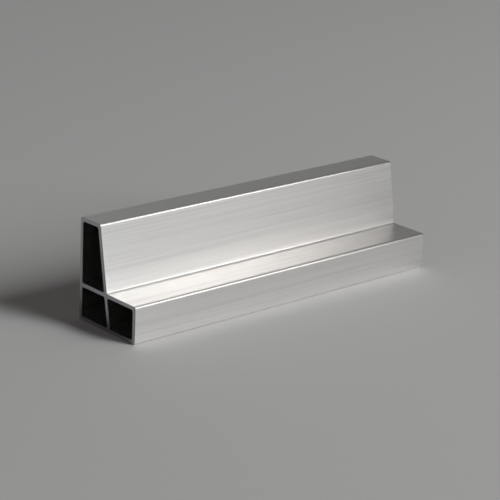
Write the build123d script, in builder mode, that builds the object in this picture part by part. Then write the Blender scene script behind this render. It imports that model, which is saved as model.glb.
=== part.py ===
"""Stepped hollow aluminium extrusion: one cut length of stock.

The bar is pressed through a hollow die in one piece and sawn square at both ends, so the whole
part is one section carried along its length. A low shelf at the front meets a tall crown at the
back along a leaning riser. One plate makes the shelf and, behind the riser, the floor of the crown
chamber. The riser's line runs straight on below that plate as the web between the two lower chambers.

X runs along the bar, Y from the shelf's front to the upright back, Z up from the foot.
The origin is under the middle of the bar, on the surface that it lies on.
"""

import os
from math import cos, radians, tan

from build123d import *

# Cut length, and the small chamfer that deburring leaves on the sawn edges
bar_length = 150.0
end_break = 0.2

# Outside of the section, to the sharp corners before they are rounded
base_width = 33.0
crown_height = 40.0
crown_width = 11.7
shelf_height = 14.6
riser_lean = 10.0  # degrees from upright, towards the back

# Every wall has the same thickness, as a hollow die needs for an even flow
wall = 1.5

# Rounding of the section
corner_radius = 1.0
root_radius = 1.0
chamber_radius = 0.8

# Lines that the outside and the chambers share
back = base_width / 2
front = -base_width / 2
inside_of_back = back - wall
inside_of_front = front + wall
crown_underside = crown_height - wall
shelf_underside = shelf_height - wall
lean_slope = tan(radians(riser_lean))
riser_across = wall / cos(radians(riser_lean))


def riser_front(height):
    """Where the riser's front face, or the web's below the shelf, stands at this height."""
    return back - crown_width - (crown_height - height) * lean_slope


def riser_back(height):
    """Where the back face of the same wall stands at this height."""
    return riser_front(height) + riser_across


# Outline from the foot's back corner over the crown, down the riser and out along the shelf
outline = [
    (back, 0),
    (back, crown_height),
    (riser_front(crown_height), crown_height),
    (riser_front(shelf_height), shelf_height),
    (front, shelf_height),
    (front, 0),
]
outline_radii = [
    corner_radius,
    corner_radius,
    corner_radius,
    root_radius,
    corner_radius,
    corner_radius,
]

# Chambers: the tall one in the crown, and the heel and the toe on either side of the web
crown_chamber = [
    (riser_back(shelf_height), shelf_height),
    (inside_of_back, shelf_height),
    (inside_of_back, crown_underside),
    (riser_back(crown_underside), crown_underside),
]
heel_chamber = [
    (riser_back(wall), wall),
    (inside_of_back, wall),
    (inside_of_back, shelf_underside),
    (riser_back(shelf_underside), shelf_underside),
]
toe_chamber = [
    (inside_of_front, wall),
    (riser_front(wall), wall),
    (riser_front(shelf_underside), shelf_underside),
    (inside_of_front, shelf_underside),
]

# The section is drawn on one sawn end, carried along the bar and deburred at both ends
with BuildPart() as stepped_profile:
    with BuildSketch(Plane.YZ.offset(-bar_length / 2)):
        with BuildLine():
            FilletPolyline(*outline, radius=outline_radii, close=True)
        make_face()
        for chamber in (crown_chamber, heel_chamber, toe_chamber):
            with BuildLine():
                FilletPolyline(*chamber, radius=chamber_radius, close=True)
            make_face(mode=Mode.SUBTRACT)
    extrude(amount=bar_length)

    sawn_ends = stepped_profile.faces().filter_by(Axis.X)
    chamfer(sawn_ends.edges(), end_break)

stepped_profile.part.label = "stepped_profile"

os.makedirs("parts", exist_ok=True)
export_step(stepped_profile.part, "parts/stepped_profile.step")
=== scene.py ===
"""A sawn length of stepped hollow aluminium extrusion, lying on its foot on a pale studio floor."""
from math import cos, pi, radians, sin

import bpy
from mathutils import Matrix, Vector


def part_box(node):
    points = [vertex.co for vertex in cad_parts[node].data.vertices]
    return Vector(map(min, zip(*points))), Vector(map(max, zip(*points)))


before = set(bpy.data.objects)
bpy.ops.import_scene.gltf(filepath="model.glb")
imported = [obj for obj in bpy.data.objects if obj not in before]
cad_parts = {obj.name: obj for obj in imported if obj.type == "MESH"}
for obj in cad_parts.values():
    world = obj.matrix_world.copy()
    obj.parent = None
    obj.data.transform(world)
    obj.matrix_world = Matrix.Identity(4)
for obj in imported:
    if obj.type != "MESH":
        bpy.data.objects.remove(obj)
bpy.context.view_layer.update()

# The bar: one hollow section of mill-finish aluminium, as it left the press.
# It was pushed through a hollow die, stretched straight and sawn square at both ends.
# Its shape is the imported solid's own, so this section gives it only its finish.
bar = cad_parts["stepped_profile"]
bar_low, bar_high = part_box("stepped_profile")
bar_middle = (bar_low + bar_high) / 2
half_length = (bar_high.x - bar_low.x) / 2
mm = 0.001


def linear(hex_colour):
    """An sRGB hex colour as the linear RGBA that Blender's sockets hold."""
    channels = [int(hex_colour[i:i + 2], 16) / 255 for i in (1, 3, 5)]
    return [c / 12.92 if c <= 0.04045 else ((c + 0.055) / 1.055) ** 2.4 for c in channels] + [1.0]


def add(tree, kind, inputs, **settings):
    """Adds a node of this kind, sets it up, and fills or links its inputs."""
    node = tree.nodes.new(kind)
    for name, value in settings.items():
        setattr(node, name, value)
    for socket, value in inputs.items():
        if isinstance(value, bpy.types.NodeSocket):
            tree.links.new(value, node.inputs[socket])
        else:
            node.inputs[socket].default_value = value
    return node


# Mill-finish aluminium: bright bare metal, neither brushed nor anodised. The die drags fine lines
# along the whole length, so highlights spread across the bar and faint streaks run with it.
# The sawn ends are duller and greyer, with the arcs that the saw's teeth left.
mill_colour = "#F6F4F2"
streak_colour = "#E4E2E1"
sawn_colour = "#C0C1C3"
mill_roughness = 0.28
streak_roughness = 0.30
sawn_roughness = 0.16
gloss_stretch = 0.925  # die lines and saw marks alike spread the highlights across themselves

aluminium = bpy.data.materials.new("mill_finish_aluminium")
aluminium.use_nodes = True
tree = aluminium.node_tree
tree.nodes.clear()
place = add(tree, "ShaderNodeTexCoord", {}).outputs["Object"]

# Streaks and die lines: noise drawn out along the bar, where it rubbed on the die
streak_width = 1.0 * mm
streak_length = 110 * mm
streak_detail = 3.0
streak_unevenness = 0.65
streak_starts_at = 0.4  # level of the noise
streak_full_at = 0.8
die_line_width = 0.4 * mm  # real lines are finer, about 0.1 mm, too fine to show here
die_line_depth = 0.004 * mm  # as steep as the real ones
die_line_detail = 2.0
die_mark_starts_at = 0.5
die_mark_full_at = 0.8
noise_feature = 0.5  # a noise texture at scale 1 has features about this wide

drawn_out = add(tree, "ShaderNodeMapping", {
    "Vector": place,
    "Scale": (streak_width / streak_length, 1, 1),
}, vector_type="POINT").outputs["Vector"]
rubbing = add(tree, "ShaderNodeTexNoise", {
    "Vector": drawn_out,
    "Scale": noise_feature / streak_width,
    "Detail": streak_detail,
    "Roughness": streak_unevenness,
}).outputs["Fac"]
streaks = add(tree, "ShaderNodeMapRange", {
    "Value": rubbing,
    "From Min": streak_starts_at,
    "From Max": streak_full_at,
}, interpolation_type="SMOOTHSTEP").outputs["Result"]
die_lines = add(tree, "ShaderNodeTexNoise", {
    "Vector": drawn_out,
    "Scale": noise_feature / die_line_width,
    "Detail": die_line_detail,
}).outputs["Fac"]
die_marks = add(tree, "ShaderNodeMapRange", {
    "Value": die_lines,
    "From Min": die_mark_starts_at,
    "From Max": die_mark_full_at,
}, interpolation_type="SMOOTHSTEP").outputs["Result"]
marks = add(tree, "ShaderNodeMath", {
    0: streaks,
    1: die_marks,
}, operation="MAXIMUM").outputs["Value"]
die_relief = add(tree, "ShaderNodeMath", {
    0: die_lines,
    1: die_line_depth,
}, operation="MULTIPLY").outputs["Value"]

# Saw marks: arcs about the blade's axle, out beyond the section
saw_radius = 150 * mm
saw_side = Vector((0, -0.97, -0.25))  # the way from the middle of the section to the axle
saw_centre = saw_side.normalized() * saw_radius
tooth_mark_width = 0.5 * mm
tooth_mark_depth = 0.003 * mm
tooth_wander = 1.5
tooth_wander_detail = 3.0
tooth_wander_scale = 0.6
wave_period = 2 * pi / 20  # a wave texture at scale 1 repeats at this distance

from_axle = add(tree, "ShaderNodeMapping", {
    "Vector": place,
    "Location": -(bar_middle + saw_centre),
}, vector_type="POINT").outputs["Vector"]
tooth_marks = add(tree, "ShaderNodeTexWave", {
    "Vector": from_axle,
    "Scale": wave_period / tooth_mark_width,
    "Distortion": tooth_wander,
    "Detail": tooth_wander_detail,
    "Detail Scale": tooth_wander_scale,
}, wave_type="RINGS", rings_direction="X").outputs["Fac"]
tooth_relief = add(tree, "ShaderNodeMath", {
    0: tooth_marks,
    1: tooth_mark_depth,
}, operation="MULTIPLY").outputs["Value"]

# The sawn finish covers each end of the bar and its deburred edges, and mill finish the rest
sawn_depth = 0.21 * mm  # a little more than the deburred edge takes
along = add(tree, "ShaderNodeSeparateXYZ", {"Vector": place}).outputs["X"]
from_middle = add(tree, "ShaderNodeMath", {0: along}, operation="ABSOLUTE").outputs["Value"]
sawn = add(tree, "ShaderNodeMath", {
    0: from_middle,
    1: half_length - sawn_depth,
}, operation="GREATER_THAN").outputs["Value"]
mill_tone = add(tree, "ShaderNodeMix", {
    "Factor": marks,
    "A": linear(mill_colour),
    "B": linear(streak_colour),
}, data_type="RGBA").outputs["Result"]
colour = add(tree, "ShaderNodeMix", {
    "Factor": sawn,
    "A": mill_tone,
    "B": linear(sawn_colour),
}, data_type="RGBA").outputs["Result"]
mill_gloss = add(tree, "ShaderNodeMapRange", {
    "Value": marks,
    "To Min": mill_roughness,
    "To Max": streak_roughness,
}).outputs["Result"]
gloss = add(tree, "ShaderNodeMix", {
    "Factor": sawn,
    "A": mill_gloss,
    "B": sawn_roughness,
}, data_type="FLOAT").outputs["Result"]
relief = add(tree, "ShaderNodeMix", {
    "Factor": sawn,
    "A": die_relief,
    "B": tooth_relief,
}, data_type="FLOAT").outputs["Result"]

# The deburred edge is too slight to show by itself, so it shades as part of the flat end
outward = add(tree, "ShaderNodeMath", {0: along}, operation="SIGN").outputs["Value"]
lengthwise = add(tree, "ShaderNodeCombineXYZ", {"X": outward}).outputs["Vector"]
end_normal = add(tree, "ShaderNodeVectorTransform", {
    "Vector": lengthwise,
}, vector_type="NORMAL", convert_from="OBJECT", convert_to="WORLD").outputs["Vector"]
own_normal = add(tree, "ShaderNodeNewGeometry", {}).outputs["Normal"]
facing = add(tree, "ShaderNodeMix", {
    "Factor": sawn,
    "A": own_normal,
    "B": end_normal,
}, data_type="VECTOR").outputs["Result"]

# The relief's heights are true metres, so the bump takes them as they are
surface = add(tree, "ShaderNodeBump", {
    "Height": relief,
    "Distance": 1.0,
    "Strength": 1.0,
    "Normal": facing,
}).outputs["Normal"]
across_die_lines = add(tree, "ShaderNodeTangent", {
}, direction_type="RADIAL", axis="X").outputs["Tangent"]
across = add(tree, "ShaderNodeMix", {
    "Factor": sawn,
    "A": across_die_lines,
    "B": from_axle,
}, data_type="VECTOR").outputs["Result"]
metal = add(tree, "ShaderNodeBsdfPrincipled", {
    "Base Color": colour,
    "Metallic": 1.0,
    "Roughness": gloss,
    "Anisotropic": gloss_stretch,
    "Tangent": across,
    "Normal": surface,
})
add(tree, "ShaderNodeOutputMaterial", {"Surface": metal.outputs["BSDF"]})
bar.material_slots[0].material = aluminium

# The floor: a plain sheet of matt pale paper, laid flat under the bar's foot.
# It is one colour all over, and wide enough to fill every view.
floor_colour = "#D5D1CF"
floor_roughness = 0.85
floor_width = 8.0
bpy.ops.object.select_all(action="DESELECT")
bpy.ops.mesh.primitive_plane_add(size=floor_width, location=(0, 0, 0))
floor = bpy.context.object
floor.name = "floor"
paper = bpy.data.materials.new("matt_pale_paper")
paper.use_nodes = True
matt = paper.node_tree.nodes["Principled BSDF"]
matt.inputs["Base Color"].default_value = linear(floor_colour)
matt.inputs["Roughness"].default_value = floor_roughness
floor.data.materials.append(paper)


# The light: a tall softbox that leans over to the right of the camera, and a small dim one
# further round, which the shelf mirrors. The room's pale walls fade up into a dark ceiling.
def towards(azimuth, elevation):
    """The direction that lies this many degrees round from -Y towards +X, and up from the floor."""
    a, e = radians(azimuth), radians(elevation)
    return Vector((sin(a) * cos(e), -cos(a) * cos(e), sin(e)))


def softbox(name, azimuth, elevation, lean, distance, wide, high, radiance, tint):
    """A soft rectangular lamp that faces the bar, as bright all over as a surface of that radiance."""
    lamp = bpy.data.lights.new(name, "AREA")
    lamp.shape = "RECTANGLE"
    lamp.size, lamp.size_y = wide, high
    lamp.energy = radiance * pi * wide * high
    lamp.color = linear(tint)[:3]
    stand = bpy.data.objects.new(name, lamp)
    out = towards(azimuth, elevation)
    upright = out.to_track_quat("Z", "Y").to_matrix()
    leaning = Matrix.Rotation(radians(lean), 3, out) @ upright
    stand.location = bar_middle + out * distance
    stand.rotation_euler = leaning.to_euler()
    bpy.context.scene.collection.objects.link(stand)


softbox(
    "key_softbox", azimuth=24, elevation=30.3, lean=-27,
    distance=4.0, wide=1.2, high=2.68, radiance=11.5, tint="#F7FDFF",
)
softbox(
    "side_softbox", azimuth=45, elevation=29.5, lean=0,
    distance=1.2, wide=0.24, high=0.42, radiance=3.5, tint="#FFFCF9",
)

wall_colour = "#848484"
ceiling_colour = "#222222"
world = bpy.data.worlds.new("room")
world.use_nodes = True
room_tree = world.node_tree
room_tree.nodes.clear()
looking = add(room_tree, "ShaderNodeTexCoord", {}).outputs["Generated"]
upward = add(room_tree, "ShaderNodeSeparateXYZ", {"Vector": looking}).outputs["Z"]
room_colour = add(room_tree, "ShaderNodeMix", {
    "Factor": upward,
    "A": linear(wall_colour),
    "B": linear(ceiling_colour),
}, data_type="RGBA").outputs["Result"]
room = add(room_tree, "ShaderNodeBackground", {"Color": room_colour, "Strength": 1.0})
add(room_tree, "ShaderNodeOutputWorld", {"Surface": room.outputs["Background"]})
bpy.context.scene.world = world

# The camera: a long lens low over the shelf, near the sawn end, with a slight roll.
# Its place was fitted to the bar's long edges and to the outline of the sawn end.
camera_azimuth = -42.56
camera_elevation = 18.69
camera_roll = 2.69
camera_distance = 733.96 * mm
focal_length = 136.4  # in millimetres, as the camera's own settings are
sensor_width = 36.0
aim = Vector((-3.63, 2.12, 17.35)) * mm
back = towards(camera_azimuth, camera_elevation)
level = Vector((cos(radians(camera_azimuth)), sin(radians(camera_azimuth)), 0))
right = Matrix.Rotation(radians(camera_roll), 3, back) @ level
up = back.cross(right)
turn = Matrix((right, up, back)).transposed().to_4x4()
camera = bpy.data.objects.new("camera", bpy.data.cameras.new("camera"))
camera.data.lens = focal_length
camera.data.sensor_width = sensor_width
camera.matrix_world = Matrix.Translation(aim + back * camera_distance) @ turn
bpy.context.scene.collection.objects.link(camera)
bpy.context.scene.camera = camera

# Colours are shown as they are, with no film look
bpy.context.scene.view_settings.view_transform = "Standard"
